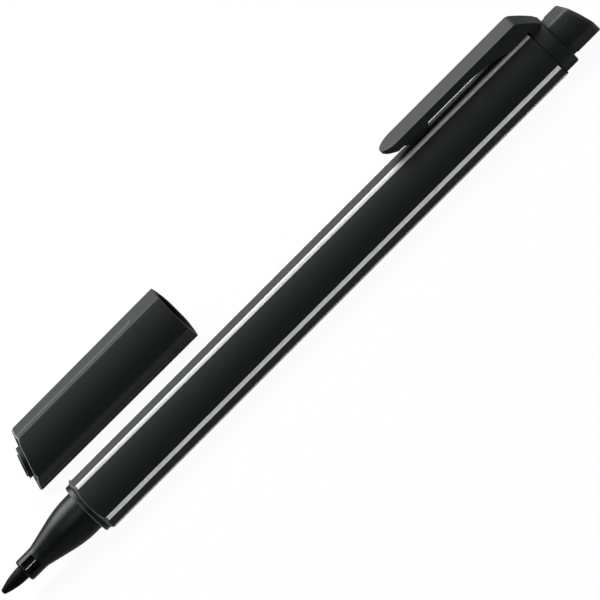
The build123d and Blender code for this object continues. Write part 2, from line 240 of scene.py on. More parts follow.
# Reservoir wadding: crimped fibres along the core, dark with ink
core_fibre = lengthwise_finish("reservoir_fibre", 400.0, 2400.0, (14, 15, 22), (44, 46, 58),
                               sheen=(0.95, 0.8), bump=(0.6, 0.05), detail=4.0, noise_roughness=0.65)

# Thin film round the reservoir, with drawn lines along it
film = lengthwise_finish("reservoir_film", 20.0, 1500.0, (150, 153, 158), (196, 199, 203),
                         sheen=(0.2, 0.32), detail=2.0)


# Mesh making

def mesh_piece(name, maker, finish):
    """Object at the origin from a bmesh in millimetres: merged, and facing outwards."""
    bmesh.ops.scale(maker, vec=(MM, MM, MM), verts=maker.verts)
    bmesh.ops.remove_doubles(maker, verts=maker.verts, dist=MERGE_DISTANCE)
    bmesh.ops.recalc_face_normals(maker, faces=maker.faces)
    mesh = bpy.data.meshes.new(name)
    maker.to_mesh(mesh)
    maker.free()
    mesh.materials.append(finish)
    return dress(name, mesh)


def dress(name, mesh):
    """Object of a mesh that is smooth but for its real edges."""
    mesh.polygons.foreach_set("use_smooth", [True] * len(mesh.polygons))
    mesh.set_sharp_from_angle(angle=radians(SHARP_EDGE))
    made = bpy.data.objects.new(name, mesh)
    bpy.context.scene.collection.objects.link(made)
    return made


def rings_between(maker, rings, closed=False):
    """Skin of quads over rings of points, each ring closed on itself."""
    loops = [[maker.verts.new(p) for p in ring] for ring in rings]
    pairs = list(zip(loops, loops[1:])) + ([(loops[-1], loops[0])] if closed else [])
    for first, second in pairs:
        for i in range(len(first)):
            j = (i + 1) % len(first)
            maker.faces.new((first[i], first[j], second[j], second[i]))
    return loops


def circle_turns(sides):
    return [2 * pi * i / sides for i in range(sides)]


def add_mesh(maker, mesh):
    """Adds a mesh in metres to a bmesh in millimetres."""
    before = len(maker.verts)
    maker.from_mesh(mesh)
    maker.verts.ensure_lookup_table()
    bmesh.ops.scale(maker, vec=(1 / MM, 1 / MM, 1 / MM), verts=maker.verts[before:])


def solid_strip(maker, front, back):
    """Closed strip between two outlines of the same number of points."""
    loops = rings_between(maker, [front, back])
    maker.faces.new(loops[0])
    maker.faces.new(loops[1])


def slant_normal(direction, slope, angle):
    """Way that a slanted end faces."""
    return Vector((direction, slope * cos(radians(angle)), slope * sin(radians(angle)))).normalized()


# Geometry trees

def geometry_tree(name, inputs):
    """New tree with a geometry in and out and named inputs, and a wire for each input."""
    tree = bpy.data.node_groups.new(name, "GeometryNodeTree")
    tree.interface.new_socket("Geometry", in_out="INPUT", socket_type="NodeSocketGeometry")
    for title, kind in inputs.items():
        tree.interface.new_socket(title, in_out="INPUT", socket_type=kind)
    tree.interface.new_socket("Geometry", in_out="OUTPUT", socket_type="NodeSocketGeometry")
    source = tree.nodes.new("NodeGroupInput")
    return tree, {s.name: Wire(s) for s in source.outputs if s.name}


def end_tree(tree, geometry, finish):
    real = Wire.node(tree, "GeometryNodeRealizeInstances", None, {"Geometry": geometry})
    dressed = Wire.node(tree, "GeometryNodeSetMaterial", None, {"Geometry": real, "Material": finish})
    Wire.node(tree, "NodeGroupOutput", None, {"Geometry": dressed})


def run_tree(name, tree, sizes, base=None):
    """Plain mesh that a tree makes with these sizes, from a base mesh or from nothing."""
    holder = bpy.data.objects.new(name, base or bpy.data.meshes.new(name))
    bpy.context.scene.collection.objects.link(holder)
    modifier = holder.modifiers.new(tree.name, "NODES")
    modifier.node_group = tree
    for socket in tree.interface.items_tree:
        if socket.in_out == "INPUT" and socket.name in sizes:
            modifier[socket.identifier] = sizes[socket.name]
    graph = bpy.context.evaluated_depsgraph_get()
    mesh = bpy.data.meshes.new_from_object(holder.evaluated_get(graph))
    bpy.data.objects.remove(holder)
    return mesh


def trefoil_tree(finish):
    """Sleeve with a section of wide arcs and narrow flats, and with a bore.

    It may have rounded rims, a coned or leaning front, draft, raised panels on its flats and a slanted end.
    """
    titles = ("Start X", "Axis Y", "Direction", "Length", "Corner Radius", "Face Radius", "Half Angle",
              "Corner Rounding", "Draft", "Bore Radius", "Mouth Chamfer",
              "Front Slope", "Front Angle", "Front Radius", "Front Bevel", "Front Shine",
              "Panel Start", "Panel Width", "Panel Height", "Panel Shine",
              "End Slope", "End Angle", "End Limit", "End Bevel", "End Shine", "End Mark")
    inputs = {**{title: "NodeSocketFloat" for title in titles}, "Sides": "NodeSocketInt"}
    tree, size = geometry_tree("trefoil_sleeve_" + finish.name, inputs)
    corner, face = size["Corner Radius"], size["Face Radius"]
    bore, mouth = size["Bore Radius"], size["Mouth Chamfer"]
    panel_start, panel_width = size["Panel Start"], size["Panel Width"]
    place = Wire.node(tree, "GeometryNodeInputPosition")
    split = Wire.node(tree, "ShaderNodeSeparateXYZ", None, {0: place}).socket.node
    turn = (Wire(split.outputs[1]) + 0.5) * (2 * pi)
    half_pitch = radians(FLAT_PITCH / 2)
    bearing = (turn - radians(FIRST_WIDE)).math("WRAP", half_pitch, -half_pitch)
    off_flat = half_pitch - bearing.math("ABSOLUTE")
    half_chord = corner * size["Half Angle"].math("SINE")
    sagitta = face - corner * size["Half Angle"].math("COSINE")
    arc_radius = (half_chord * half_chord + sagitta * sagitta) / (sagitta * 2)
    arc_centre = face - arc_radius
    flat_height = corner * (half_pitch - size["Half Angle"]).math("COSINE")
    reach = arc_centre * bearing.math("SINE")
    aside = flat_height * off_flat.math("TANGENT")

    def panel_share(step):
        """1 on the round-ended panel along a flat, 0 beside it, and between them on its soft border."""
        ahead = (panel_start + panel_width * 0.5 - step).math("MAXIMUM", 0.0)
        from_middle = (ahead * ahead + aside * aside).math("SQRT") / panel_width
        border = {"Value": from_middle, "From Min": 0.6, "From Max": 0.4, "To Min": 0.0, "To Max": 1.0}
        return Wire.node(tree, "ShaderNodeMapRange", {"interpolation_type": "SMOOTHSTEP"}, border)

    def section(step):
        """Outer radius at a step from the start, and the painted highlight along the panels' borders there.
        """
        shrink = size["Draft"].math("TANGENT") * step
        inset = arc_radius - shrink
        arc = arc_centre * bearing.math("COSINE") + (inset * inset - reach * reach).math("SQRT")
        share = panel_share(step)
        flat = (flat_height - shrink + share * size["Panel Height"]) / off_flat.math("COSINE")
        border_share = share * (1 - share) * 4.0
        return arc.math("SMOOTH_MIN", flat, size["Corner Rounding"]), border_share * size["Panel Shine"]

    def rim(outer, bevel, limit, where, shine):
        """Rows over a rounded rim, from the side of the sleeve to its end."""
        rows = []
        for angle in (0, 30, 60, 90):
            radius = outer - bevel * (1 - cos(radians(angle)))
            back = (radius - limit).math("MAXIMUM", 0.0) + bevel * (1 - sin(radians(angle)))
            rows.append((radius, where(radius, back), shine))
        return rows

    def rise(which):
        """Lean of the front or the end for each unit of radius."""
        angle = size[which + " Angle"]
        sideways = size["Direction"] * turn.math("COSINE") * angle.math("COSINE")
        upward = turn.math("SINE") * angle.math("SINE")
        return (sideways + upward) * size[which + " Slope"]

    front_rise, end_rise = rise("Front"), rise("End")
    (near, _), (far, far_shine) = section(0.0), section(size["Length"])

    def front_step(radius, back):
        return front_rise * radius + back

    def end_step(radius, back):
        return size["Length"] - end_rise * radius - back

    front_bevel, front_limit = size["Front Bevel"], size["Front Radius"]
    end_bevel, end_limit = size["End Bevel"], size["End Limit"]
    front_rim = rim(near, front_bevel, front_limit, front_step, size["Front Shine"])
    end_rim = rim(far, end_bevel, end_limit, end_step, size["End Shine"])
    front_face = (near - front_bevel * 2).math("MINIMUM", front_limit)
    end_face = (far - end_bevel * 2).math("MINIMUM", end_limit)
    behind_front = front_step(near, (near - front_limit).math("MAXIMUM", 0.0) + front_bevel * 3)
    before_end = end_step(far, (far - end_limit).math("MAXIMUM", 0.0) + end_bevel * 3)
    # Painted shade inside the mouth and the bore; the Front Shine and End Shine sizes paint highlights and
    # shade on the rims, and End Mark paints the end face
    front_rows = [(bore, front_step(bore, mouth), PAINTED_SHADE),
                  (bore + mouth, front_step(bore + mouth, 0.0), PAINTED_SHADE),
                  (front_face, front_step(front_face, 0.0), PLAIN),
                  *reversed(front_rim),
                  (near, behind_front, PLAIN)]
    end_rows = [(far, before_end, far_shine),
                *end_rim,
                (end_face, end_step(end_face, 0.0), size["End Mark"]),
                (bore, end_step(bore, 0.0), PLAIN),
                (bore, front_step(bore, mouth), PAINTED_SHADE)]

    panel_rows, panel_lead_share, panel_span_share = 17, 0.2, 0.75
    grid_rows = len(front_rows) + panel_rows + len(end_rows)
    grid_sizes = {"Size X": 1.0, "Size Y": 1.0, "Vertices X": grid_rows, "Vertices Y": size["Sides"] + 1}
    grid = Wire.node(tree, "GeometryNodeMeshGrid", None, grid_sizes)
    row = ((Wire(split.outputs[0]) + 0.5) * (grid_rows - 1)).math("ROUND")
    panel_row_share = (row - len(front_rows)) * (panel_span_share / (panel_rows - 1)) - panel_lead_share
    panel_step = panel_start + panel_width * panel_row_share
    panel_radius, panel_shine = section(panel_step)
    rows = front_rows + [(panel_radius, panel_step, panel_shine)] * panel_rows + end_rows

    def choose(options):
        settings = {"data_type": "FLOAT", "item_count": grid_rows}
        items = {0: row, **{str(i): option for i, option in enumerate(options)}}
        return Wire.node(tree, "GeometryNodeIndexSwitch", settings, items)

    radius, step, shine = (choose(options) for options in zip(*rows))
    point = Wire.node(tree, "ShaderNodeCombineXYZ", None, {
        "X": (size["Start X"] + size["Direction"] * step) * MM,
        "Y": (size["Axis Y"] + size["Direction"] * radius * turn.math("COSINE")) * MM,
        "Z": (radius * turn.math("SINE") + AXIS_HEIGHT) * MM})
    marked = Wire.node(tree, "GeometryNodeStoreNamedAttribute", {"data_type": "FLOAT", "domain": "POINT"},
                       {"Geometry": grid, "Name": "edge", "Value": shine})
    shaped = Wire.node(tree, "GeometryNodeSetPosition", None, {"Geometry": marked, "Position": point})
    merge = {"Geometry": shaped, "Distance": MERGE_DISTANCE}
    end_tree(tree, Wire.node(tree, "GeometryNodeMergeByDistance", None, merge), finish)
    return tree


def trefoil_sleeve(name, finish, sizes):
    """Mesh of a trefoil sleeve, facing outwards; a size that isn't given leaves its feature out."""
    no_limit, no_panel = 50.0, 0.01
    values = {"Direction": 1.0, "Draft": 0.0, "Mouth Chamfer": 0.0,
              "Front Slope": 0.0, "Front Angle": 0.0, "Front Radius": no_limit, "Front Bevel": 0.0,
              "Front Shine": PLAIN, "Panel Start": sizes["Length"] / 2, "Panel Width": no_panel,
              "Panel Height": 0.0, "Panel Shine": 0.0, "End Slope": 0.0, "End Angle": 0.0,
              "End Limit": no_limit, "End Bevel": 0.0, "End Shine": PLAIN, "End Mark": PLAIN, "Sides": 360}
    values.update(sizes)
    for angle in ("Half Angle", "Draft", "Front Angle", "End Angle"):
        values[angle] = radians(values[angle])
    mesh = run_tree(name, trefoil_tree(finish), values)
    maker = bmesh.new()
    maker.from_mesh(mesh)
    bmesh.ops.recalc_face_normals(maker, faces=maker.faces)
    maker.to_mesh(mesh)
    maker.free()
    return mesh


def around_axis_tree(finish):
    """Repeats a shape drawn round the origin's X axis at even steps about an axis of the object."""
    inputs = {"Count": "NodeSocketInt", "Axis Place": "NodeSocketVector"}
    tree, size = geometry_tree("round_the_axis_" + finish.name, inputs)
    line = {"Count": size["Count"], "Start Location": size["Axis Place"], "Offset": (0.0, 0.0, 0.0)}
    points = Wire.node(tree, "GeometryNodeMeshLine", None, line)
    step = Wire.node(tree, "GeometryNodeInputIndex") * (2 * pi) / size["Count"]
    spin = Wire.node(tree, "FunctionNodeEulerToRotation", None,
                     {0: Wire.node(tree, "ShaderNodeCombineXYZ", None, {"X": step, "Y": 0.0, "Z": 0.0})})
    copies = Wire.node(tree, "GeometryNodeInstanceOnPoints", None,
                       {"Points": points, "Instance": size["Geometry"], "Rotation": spin})
    end_tree(tree, copies, finish)
    return tree


def around_pen(name, maker, finish):
    """Mesh of a shape in millimetres round the origin's X axis, repeated on the three sides of the pen."""
    bmesh.ops.scale(maker, vec=(MM, MM, MM), verts=maker.verts)
    bmesh.ops.recalc_face_normals(maker, faces=maker.faces)
    base = bpy.data.meshes.new(name)
    maker.to_mesh(base)
    maker.free()
    sizes = {"Count": FLATS, "Axis Place": (0.0, PEN_Y * MM, AXIS_HEIGHT * MM)}
    return run_tree(name, around_axis_tree(finish), sizes, base)


# Barrel and its edge stripes

CORNER, FACE, WIDE_HALF = 5.86, 5.2, 42.2
BARREL_BORE = 3.75
# The barrel's front rim carries a painted highlight and its rear rim painted shade
barrel = dress("barrel_tube", trefoil_sleeve("barrel_tube", barrel_black, {
    "Start X": BARREL_X, "Axis Y": PEN_Y, "Length": RING_X - BARREL_X,
    "Corner Radius": CORNER, "Face Radius": FACE, "Half Angle": WIDE_HALF, "Corner Rounding": 0.42,
    "Front Radius": FACE, "Front Bevel": 0.07, "Front Shine": PAINTED_HIGHLIGHT,
    "Bore Radius": BARREL_BORE, "End Bevel": 0.1, "End Shine": PAINTED_SHADE}))
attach(barrel, "pen")
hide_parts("barrel")


def off_wide(angle):
    """Bearing of an angle from the middle of the nearest wide face."""
    return (angle - FIRST_WIDE + FLAT_PITCH / 2) % FLAT_PITCH - FLAT_PITCH / 2


def barrel_radius(angle):
    """Radius of the barrel's sharp section at an angle in degrees."""
    bearing = off_wide(angle)
    half_chord = CORNER * sin(radians(WIDE_HALF))
    sagitta = FACE - CORNER * cos(radians(WIDE_HALF))
    arc_radius = (half_chord**2 + sagitta**2) / (2 * sagitta)
    centre = FACE - arc_radius
    arc = centre * cos(radians(bearing)) + sqrt(arc_radius**2 - (centre * sin(radians(bearing)))**2)
    flat_height = CORNER * cos(radians(FLAT_PITCH / 2 - WIDE_HALF))
    return min(arc, flat_height / cos(radians(FLAT_PITCH / 2 - abs(bearing))))


def edge_stripes():
    """Pale inlays along both corners of the upper flat, repeated on the other two flats."""
    maker = bmesh.new()
    width, depth, end_gap, cuts = 1.05, 0.55, 0.35, 12
    for corner_angle in (FIRST_WIDE + WIDE_HALF, FIRST_WIDE + FLAT_PITCH - WIDE_HALF):
        outline = []
        for i in range(cuts + 1):
            angle = corner_angle + degrees((i / cuts - 0.5) * width / CORNER)
            outline.append((barrel_radius(angle), radians(angle)))
        inner = sqrt((CORNER - depth)**2 + (width / 2)**2)
        lean = atan2(width / 2, CORNER - depth)
        outline += [(inner, radians(corner_angle) + lean), (inner, radians(corner_angle) - lean)]
        ends = []
        for x, cone in ((BARREL_X + end_gap, 1), (RING_X - end_gap, 0)):
            ends.append([(x + cone * max(r - FACE, 0), r * cos(t), r * sin(t)) for r, t in outline])
        solid_strip(maker, *ends)
    return dress("edge_stripes", around_pen("edge_stripes", maker, stripe_white))


stripes = edge_stripes()
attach(stripes, "pen")
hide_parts(*[f"edge_stripe_{number}" for number in range(1, 7)])


# Front section and nib

NOSE_LENGTH, SEAT_LENGTH = 15.4, 1.2
COLLAR_X = NOSE_X + NOSE_LENGTH
SEAT_RADIUS, NOSE_RADIUS, NIB_RADIUS = 4.13, 2.23, 1.38
SHOULDER_ARC, HOLLOW_ARC, CONE_ANGLE = 22.0, 4.0, 13.5


def nose_profile():
    """Nose from its front edge to the cap seat, as (x, radius): cylinder, hollow, cone and shoulder."""
    rounding, rounding_cuts, hollow_cuts, shoulder_cuts = 0.4, 8, 24, 32
    seat_x = COLLAR_X - SEAT_LENGTH
    lean = radians(CONE_ANGLE)
    arcs = SHOULDER_ARC + HOLLOW_ARC
    cone = (SEAT_RADIUS - NOSE_RADIUS - arcs * (1 - cos(lean))) / sin(lean)
    hollow_x = seat_x - arcs * sin(lean) - cone * cos(lean)
    points = []
    for i in range(rounding_cuts + 1):
        swing = radians(90 * i / rounding_cuts)
        points.append((NOSE_X + rounding * (1 - cos(swing)), NOSE_RADIUS - rounding * (1 - sin(swing))))
    for i in range(hollow_cuts + 1):
        swing = lean * i / hollow_cuts
        points.append((hollow_x + HOLLOW_ARC * sin(swing), NOSE_RADIUS + HOLLOW_ARC * (1 - cos(swing))))
    for i in reversed(range(shoulder_cuts + 1)):
        swing = lean * i / shoulder_cuts
        points.append((seat_x - SHOULDER_ARC * sin(swing), SEAT_RADIUS - SHOULDER_ARC * (1 - cos(swing))))
    return points


def vent_angles(vent_half, rib_bearing):
    """Angles round the nose: even steps, and one on each side of every edge of the vents and their ribs."""
    slit, steps = 0.12, 40
    edges = (-vent_half, -rib_bearing, rib_bearing, vent_half)
    angles = []
    for side in range(FLATS):
        middle = FIRST_WIDE + FLAT_PITCH * side
        offsets = [edge + d for edge in edges for d in (-slit, slit)]
        offsets += [-FLAT_PITCH / 2 + FLAT_PITCH * i / steps for i in range(steps)]
        angles += sorted(middle + offset for offset in offsets)
    return angles


def front_section():
    """Nose with three vent recesses, the seat for the cap, the collar and the spigot."""
    vent_depth, vent_start, vent_end, vent_half = 0.6, 0.6, 3.1, 35.0
    rib_half, ramp, before_vent, near = 0.09, 0.02, 0.51, 1e-6
    rim, rim_end, rear_run, rear_drop, rim_highlight = 0.15, 0.2, 0.06, 0.08, 0.2
    spigot_play, spigot_length, nib_play = 0.02, 8.0, 0.04
    spigot_radius, nib_bore = BARREL_BORE - spigot_play, NIB_RADIUS + nib_play
    profile = nose_profile()
    front = [p for p in profile if p[0] <= NOSE_X + before_vent]
    rest = [p for p in profile if p[0] > NOSE_X + before_vent]
    edges = [NOSE_X + vent + d for vent in (vent_start, vent_end) for d in (-ramp, ramp)]
    outside = front + [(x, NOSE_RADIUS) for x in edges] + rest
    highlight_rim = [(COLLAR_X + rim / 3, FACE - rim / 3), (COLLAR_X + rim, FACE)]
    collar = [(COLLAR_X, SEAT_RADIUS), (COLLAR_X, FACE - rim), *highlight_rim, (COLLAR_X + rim_end, FACE),
              (BARREL_X - rear_run, FACE), (BARREL_X, FACE - rear_drop)]
    inside = [(BARREL_X, spigot_radius), (BARREL_X + spigot_length, spigot_radius),
              (BARREL_X + spigot_length, nib_bore), (NOSE_X, nib_bore)]
    rib_bearing = degrees(rib_half / NOSE_RADIUS)
    angles = vent_angles(vent_half, rib_bearing)
    maker = bmesh.new()
    edge = maker.verts.layers.float.new("edge")
    rings, marks = [], []
    # Painted shade on the vent floors, a painted highlight on their ribs and a fainter one on the collar's
    # front rim
    for x, radius in outside + collar + inside:
        at_vent = radius == NOSE_RADIUS and edges[1] - near <= x <= edges[2] + near
        plain_mark = rim_highlight if (x, radius) in highlight_rim else PLAIN
        ring = []
        for angle in angles:
            bearing = abs(off_wide(angle))
            sunk = at_vent and rib_bearing < bearing < vent_half
            on_rib = at_vent and bearing <= rib_bearing
            r = NOSE_RADIUS - vent_depth if sunk else radius
            ring.append((x, PEN_Y + r * cos(radians(angle)), AXIS_HEIGHT + r * sin(radians(angle))))
            marks.append(PAINTED_SHADE if sunk else PAINTED_HIGHLIGHT if on_rib else plain_mark)
        rings.append(ring)
    loops = rings_between(maker, rings, closed=True)
    for vert, mark in zip((vert for loop in loops for vert in loop), marks):
        vert[edge] = mark
    return mesh_piece("nose_and_collar", maker, front_black)


nose = front_section()
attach(nose, "pen")
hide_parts("front_section")


def nib_rod():
    """Fibre rod ground to a rounded ogive."""
    tip_radius, rounding, depth = 0.43, 0.4, 14.0
    tip_cuts, ogive_cuts, sides = 8, 32, 72
    exposed = NOSE_X - TIP_X
    drop = NIB_RADIUS - tip_radius
    ogive_radius = (exposed**2 + drop**2) / (2 * drop)
    slope = tan(asin(exposed / ogive_radius))
    steep = sqrt(1 + slope**2)
    centre = tip_radius + slope * rounding - rounding * steep
    last = acos(-slope / steep)
    profile = []
    for i in range(tip_cuts + 1):
        swing = pi + (last - pi) * i / tip_cuts
        profile.append((TIP_X + rounding * (1 + cos(swing)), centre + rounding * sin(swing)))
    start = profile[-1][0]
    for i in range(1, ogive_cuts + 1):
        x = start + (NOSE_X - start) * i / ogive_cuts
        profile.append((x, NIB_RADIUS - ogive_radius + sqrt(ogive_radius**2 - (NOSE_X - x)**2)))
    end = BARREL_X + depth
    profile.append((end, NIB_RADIUS))
    maker = bmesh.new()
    turns = circle_turns(sides)
    rings = []
    for x, r in profile:
        rings.append([(x, PEN_Y + r * cos(turn), AXIS_HEIGHT + r * sin(turn)) for turn in turns])
    loops = rings_between(maker, rings)
    for loop, x in ((loops[0], TIP_X), (loops[-1], end)):
        pole = maker.verts.new((x, PEN_Y, AXIS_HEIGHT))
        for i in range(sides):
            maker.faces.new((loop[i], loop[(i + 1) % sides], pole))
    return mesh_piece("nib_rod", maker, nib_black)


nib = nib_rod()
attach(nib, "pen")
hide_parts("nib")


# Clip with its ring, and the tail plug

CLIP_X, CLIP_BEND_X = RING_X - 32.95, RING_X - 0.85
CLIP_WIDTH, CLIP_ROOT_WIDTH = 4.43, 3.5
CLIP_TIP, CLIP_CHAMFER, CLIP_TIP_THICKNESS = 3.4, 2.4, 0.75
WEB_X, FOOT_X = RING_X - 14.0, RING_X - 5.0
SADDLE_REAR_SETBACK = 0.3
SADDLE_X, SADDLE_REAR_X = RING_X + 0.1, TAIL_X - SADDLE_REAR_SETBACK

# Heights from the pen's axis
CLIP_TOP, CLIP_UNDER, FOOT, SADDLE, SADDLE_ROOT = 9.33, 7.63, 6.1, 5.55, 4.2


def fall(run, drop, x):
    """How far an arc that starts level and falls by a drop over a run has fallen at x."""
    radius = (run**2 + drop**2) / (2 * drop)
    return radius - sqrt(radius**2 - x**2)


def clip_half_width(x):
    """Plan of the clip: elliptical at its tip, drawn in over the ring."""
    half, draw_in = CLIP_WIDTH / 2, CLIP_BEND_X - 1.5
    if x < CLIP_X + CLIP_TIP:
        return half * sqrt(max(1 - ((CLIP_X + CLIP_TIP - x) / CLIP_TIP)**2, 0.0))
    if x < draw_in:
        return half
    return half - fall(TAIL_X - draw_in, half - CLIP_ROOT_WIDTH / 2, x - draw_in)


def arc_height(first, middle, last, x):
    """Height at x on the upper arc through three points."""
    (ax, ay), (bx, by), (cx, cy) = first, middle, last
    d = 2 * (ax * (by - cy) + bx * (cy - ay) + cx * (ay - by))
    ux = ((ax**2 + ay**2) * (by - cy) + (bx**2 + by**2) * (cy - ay) + (cx**2 + cy**2) * (ay - by)) / d
    uy = ((ax**2 + ay**2) * (cx - bx) + (bx**2 + by**2) * (ax - cx) + (cx**2 + cy**2) * (bx - ax)) / d
    return uy + sqrt(max((ax - ux)**2 + (ay - uy)**2 - (x - ux)**2, 0.0))


def clip_top(x):
    """Upper side of the clip: straight, then bent down to the saddle."""
    bend_soft, bend_lead, run_share, rise_share = 0.5, 2.0, 0.58, 0.476
    if x <= CLIP_BEND_X - bend_lead:
        return CLIP_TOP
    middle_x = CLIP_BEND_X + run_share * (SADDLE_REAR_X - CLIP_BEND_X)
    middle = (middle_x, SADDLE + rise_share * (CLIP_TOP - SADDLE))
    slope = arc_height((CLIP_BEND_X, CLIP_TOP), middle, (SADDLE_REAR_X, SADDLE), x)
    near = max(bend_soft - abs(CLIP_TOP - slope), 0) / bend_soft
    return min(CLIP_TOP, slope) - near**2 * bend_soft / 4


def clip_under(x):
    """Underside of the clip: thinned at the tip, and a web down to the ring at the root."""
    if x < CLIP_X + CLIP_CHAMFER:
        tip_under = CLIP_TOP - CLIP_TIP_THICKNESS
        return tip_under + (CLIP_UNDER - tip_under) * (x - CLIP_X) / CLIP_CHAMFER
    if x < WEB_X:
        return CLIP_UNDER
    if x < FOOT_X:
        return CLIP_UNDER - fall(FOOT_X - WEB_X, CLIP_UNDER - FOOT, x - WEB_X)
    return FOOT if x < SADDLE_X else SADDLE


def bar_section(x, half, top, under, edge):
    """Outline across a bar with rounded edges, as points round it."""
    edge_share, beside_share = 0.45, 0.1
    edge = min(edge, half * edge_share, (top - under) * edge_share)
    points = []
    for y_side, z_side, start in ((1, 1, 0), (-1, 1, 90), (-1, -1, 180), (1, -1, 270)):
        cy, cz = y_side * (half - edge), (top - edge if z_side > 0 else under + edge)
        for turn, beside in ((0, -1), (0, 0), (22.5, 0), (45, 0), (67.5, 0), (90, 0), (90, 1)):
            angle, run = radians(start + turn), beside * edge * beside_share
            points.append((x, PEN_Y + cy + edge * cos(angle) - run * sin(angle),
                           AXIS_HEIGHT + cz + edge * sin(angle) + run * cos(angle)))
    return points


def bar(maker, places, half, top, under, edge):
    """Closed bar skinned over its sections at places along the pen."""
    loops = rings_between(maker, [bar_section(x, half(x), top(x), under(x), edge) for x in places])
    maker.faces.new(loops[0])
    maker.faces.new(loops[-1])


def clip_pad():
    """Pad under the clip's tip, as a mesh in millimetres."""
    pad_x, rounding = CLIP_X + 6.7, 0.22
    foot_length, foot_width, foot_height = 2.9, 2.1, 5.679
    top_length, side_gap, sunk = 6.1, 0.02, 0.05
    corners = []
    for length, width, height in ((foot_length, foot_width, foot_height),
                                  (top_length, CLIP_WIDTH - side_gap, CLIP_UNDER + sunk)):
        corners.append([(pad_x + sx * length / 2, PEN_Y + sy * width / 2, AXIS_HEIGHT + height)
                        for sx, sy in ((-1, -1), (1, -1), (1, 1), (-1, 1))])
    pad = bmesh.new()
    solid_strip(pad, *corners)
    bmesh.ops.bevel(pad, geom=pad.edges[:], offset=rounding, segments=4, profile=0.5, affect="EDGES")
    shell = bpy.data.meshes.new("clip_pad")
    pad.to_mesh(shell)
    pad.free()
    return shell


def clip_arm():
    """Clip with rounded edges and the pad that holds it off a pocket's cloth."""
    edge, tip_cuts, web_cuts, bend_cuts = 0.16, 20, 20, 40
    step, bend_lead, rear_gap = 0.001, 1.6, 0.05
    bend_run = SADDLE_REAR_X - CLIP_BEND_X + bend_lead - rear_gap
    places = [CLIP_X + CLIP_TIP * (1 - cos(radians(90 * i / tip_cuts))) for i in range(1, tip_cuts + 1)]
    places += [CLIP_X + CLIP_CHAMFER, SADDLE_X - step, SADDLE_X + step]
    places += [WEB_X + (FOOT_X - WEB_X) * i / web_cuts for i in range(web_cuts + 1)]
    places += [CLIP_BEND_X - bend_lead + bend_run * i / bend_cuts for i in range(bend_cuts + 1)]
    maker = bmesh.new()
    bar(maker, sorted(set(places)), clip_half_width, clip_top, clip_under, edge)
    maker.from_mesh(clip_pad())
    return mesh_piece("clip_arm_and_pad", maker, clip_black)


clip = clip_arm()
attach(clip, "clip")
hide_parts("clip_arm")


def saddle_top(x):
    """Upper side of the saddle: level under the clip, then sloped off behind it."""
    rear_drop = 0.8
    return SADDLE - max(x - SADDLE_REAR_X, 0) * rear_drop / SADDLE_REAR_SETBACK


def clip_ring():
    """Ring that closes the barrel's rear, with the saddle under the clip."""
    saddle_edge, first_step, cuts = 0.1, 0.3, 12
    sleeve = trefoil_sleeve("ring_sleeve", ring_black, {
        "Start X": RING_X, "Axis Y": PEN_Y, "Length": TAIL_X - RING_X,
        "Corner Radius": 5.5, "Face Radius": 5.1, "Half Angle": WIDE_HALF, "Corner Rounding": 0.3,
        "Bore Radius": 2.5, "End Bevel": 0.4})
    maker = bmesh.new()
    add_mesh(maker, sleeve)
    start = RING_X + first_step
    places = [SADDLE_X] + [start + (TAIL_X - RING_X - first_step) * i / cuts for i in range(cuts + 1)]
    bar(maker, places, clip_half_width, saddle_top, lambda x: SADDLE_ROOT, saddle_edge)
    return mesh_piece("clip_ring_and_saddle", maker, ring_black)


ring = clip_ring()
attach(ring, "pen")
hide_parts("clip_ring")

TAIL_SLOPE, TAIL_SLANT = 0.354, 30.0
TAIL_CORNER, TAIL_FACE, TAIL_HALF, TAIL_BORE = 4.34, 3.95, 35.5, 1.0


def tail_disc(maker):
    """Low disc on the tail's slanted end, with a painted highlight on its softened rim; heights along the
    slant's normal.
    """
    base, height, radius, sides = -0.1, 0.33, 2.45, 72
    edge, soft_share, rim_highlight = 0.08, 0.3, 0.7
    layer = maker.verts.layers.float["edge"]
    tilt = slant_normal(1, TAIL_SLOPE, TAIL_SLANT)
    across = Vector((0, -tilt.z, tilt.y)).normalized()
    up = tilt.cross(across)
    top = base + height
    turns = circle_turns(sides)
    rings = []
    for h, r in ((base, radius), (top - edge, radius),
                 (top - edge * soft_share, radius - edge * soft_share), (top, radius - edge)):
        centre = Vector((TAIL_END_X, PEN_Y, AXIS_HEIGHT)) + tilt * h
        rings.append([centre + (across * cos(turn) + up * sin(turn)) * r for turn in turns])
    loops = rings_between(maker, rings)
    for vert in loops[1] + loops[2]:
        vert[layer] = rim_highlight
    maker.faces.new(loops[0])
    maker.faces.new(loops[-1])


def tail_plug():
    """Plug behind the ring: a neck, a post for the cap with a slanted end, and a low disc on it."""
    neck_length, neck_depth, neck_inside, neck_lap = 0.75, 0.17, 1.0, 0.1
    rim_room = 0.015
    post_x = TAIL_X + neck_length
    maker = bmesh.new()
    add_mesh(maker, trefoil_sleeve("tail_neck", tail_black, {
        "Start X": TAIL_X - neck_inside, "Axis Y": PEN_Y, "Length": neck_inside + neck_length + neck_lap,
        "Corner Radius": TAIL_CORNER - neck_depth, "Face Radius": TAIL_FACE - neck_depth,
        "Half Angle": TAIL_HALF, "Corner Rounding": 0.2, "Bore Radius": TAIL_BORE}))
    # The post's slanted rim carries a faint painted highlight
    add_mesh(maker, trefoil_sleeve("tail_post", tail_black, {
        "Start X": post_x, "Axis Y": PEN_Y, "Length": TAIL_END_X - rim_room - post_x,
        "Corner Radius": TAIL_CORNER, "Face Radius": TAIL_FACE, "Half Angle": TAIL_HALF,
        "Corner Rounding": 0.5, "Bore Radius": TAIL_BORE,
        "End Bevel": 0.3, "End Shine": 0.3, "End Slope": TAIL_SLOPE, "End Angle": TAIL_SLANT}))
    tail_disc(maker)
    return mesh_piece("tail_plug_post", maker, tail_black)


